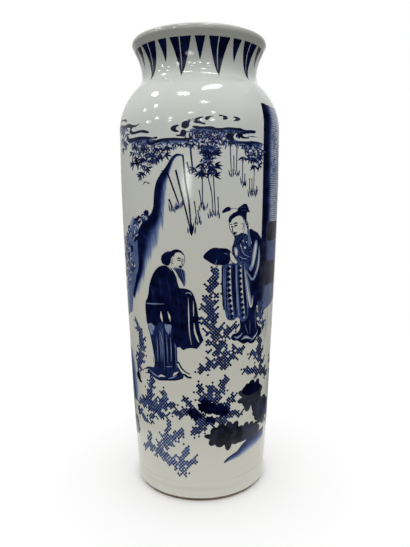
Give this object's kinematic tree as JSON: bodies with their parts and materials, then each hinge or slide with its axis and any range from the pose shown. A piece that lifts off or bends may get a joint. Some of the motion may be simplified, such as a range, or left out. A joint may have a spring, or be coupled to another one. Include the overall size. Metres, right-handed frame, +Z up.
{
  "type": "rouleau vase",
  "caption": "Tall sleeve-shaped porcelain vase with rounded shoulders, waisted neck and flared mouth, painted in underglaze blue; holds stems or stands as an ornament.",
  "frame": {"origin": "centre of the standing face, on the vase's axis", "axes": "+Z up along the vase's axis; -Y faces the viewer of the picture, towards the middle of the painted scene"},
  "size_m": [0.165, 0.1648, 0.46],
  "materials": {
    "biscuit": "unglazed fired porcelain, dry and matt",
    "slip": "fired porcelain slip, dry and matt",
    "painted_glaze": "clear glossy glaze over porcelain with underglaze cobalt painting",
    "plain_glaze": "clear glossy glaze over porcelain",
    "iron_dressing": "burnt iron wash, satin"
  },
  "bodies": {
    "root": {"base_section": "biscuit", "lower_body": "biscuit", "upper_body": "biscuit", "shoulder": "biscuit", "neck": "biscuit", "base_lute": "slip", "body_lute": "slip", "shoulder_lute": "slip", "neck_lute": "slip", "outer_glaze": "painted_glaze", "inner_glaze": "plain_glaze", "base_glaze": "plain_glaze", "foot_dressing": "iron_dressing"}
  },
  "joints": []
}
